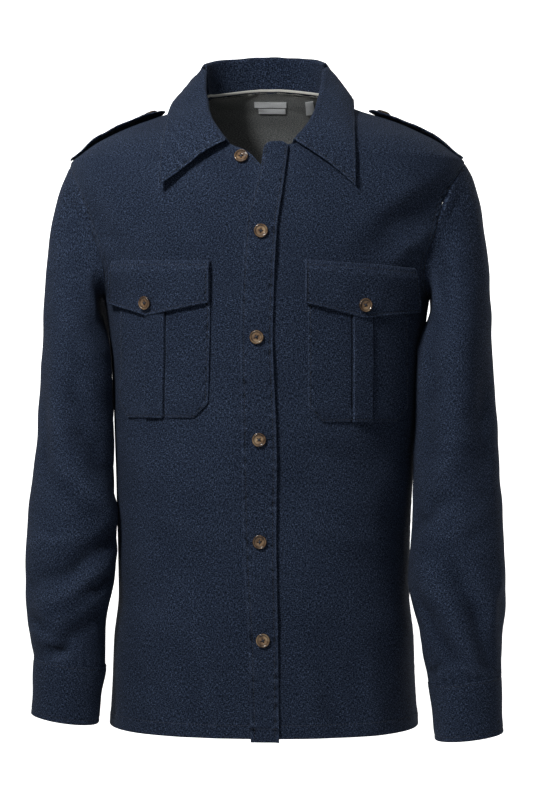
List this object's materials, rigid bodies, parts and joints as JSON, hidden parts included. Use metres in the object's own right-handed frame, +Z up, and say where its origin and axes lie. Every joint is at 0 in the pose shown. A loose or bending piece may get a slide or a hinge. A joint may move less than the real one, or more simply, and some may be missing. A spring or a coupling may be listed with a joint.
{
  "type": "denim overshirt",
  "caption": "Long-sleeved denim overshirt, buttoned and filled out as on a wearer, with collar, shoulder tabs, flapped chest pockets and buttoned cuffs.",
  "frame": {"origin": "inside the neck opening, midway between the shoulders and level with their high point, where the wearer's neck carries the garment", "axes": "+Z up, +X to the wearer's left, the front faces -Y"},
  "size_m": [0.5496, 0.2646, 0.7928],
  "materials": {
    "denim": "matt navy denim with a light slub",
    "denim_trim": "matt navy denim, two layers, topstitched",
    "horn": "polished brown marbled",
    "white_tape": "matt off-white",
    "label_cloth": "matt woven, blank"
  },
  "bodies": {
    "root": {"front_left": "denim", "front_right": "denim", "back": "denim", "sleeve_left": "denim", "sleeve_right": "denim", "pocket_left": "denim", "pocket_right": "denim", "cuff_left": "denim_trim", "cuff_right": "denim_trim", "collar": "denim_trim", "front_band": "denim_trim", "flap_left": "denim_trim", "flap_right": "denim_trim", "shoulder_tab_left": "denim_trim", "shoulder_tab_right": "denim_trim", "button_front_1": "horn", "button_front_2": "horn", "button_front_3": "horn", "button_front_4": "horn", "button_front_5": "horn", "button_front_6": "horn", "button_flap_left": "horn", "button_flap_right": "horn", "button_tab_left": "horn", "button_tab_right": "horn", "button_cuff_left": "horn", "button_cuff_right": "horn", "neck_tape": "white_tape", "neck_label": "label_cloth", "care_label": "label_cloth", "size_tab": "label_cloth"}
  },
  "joints": []
}
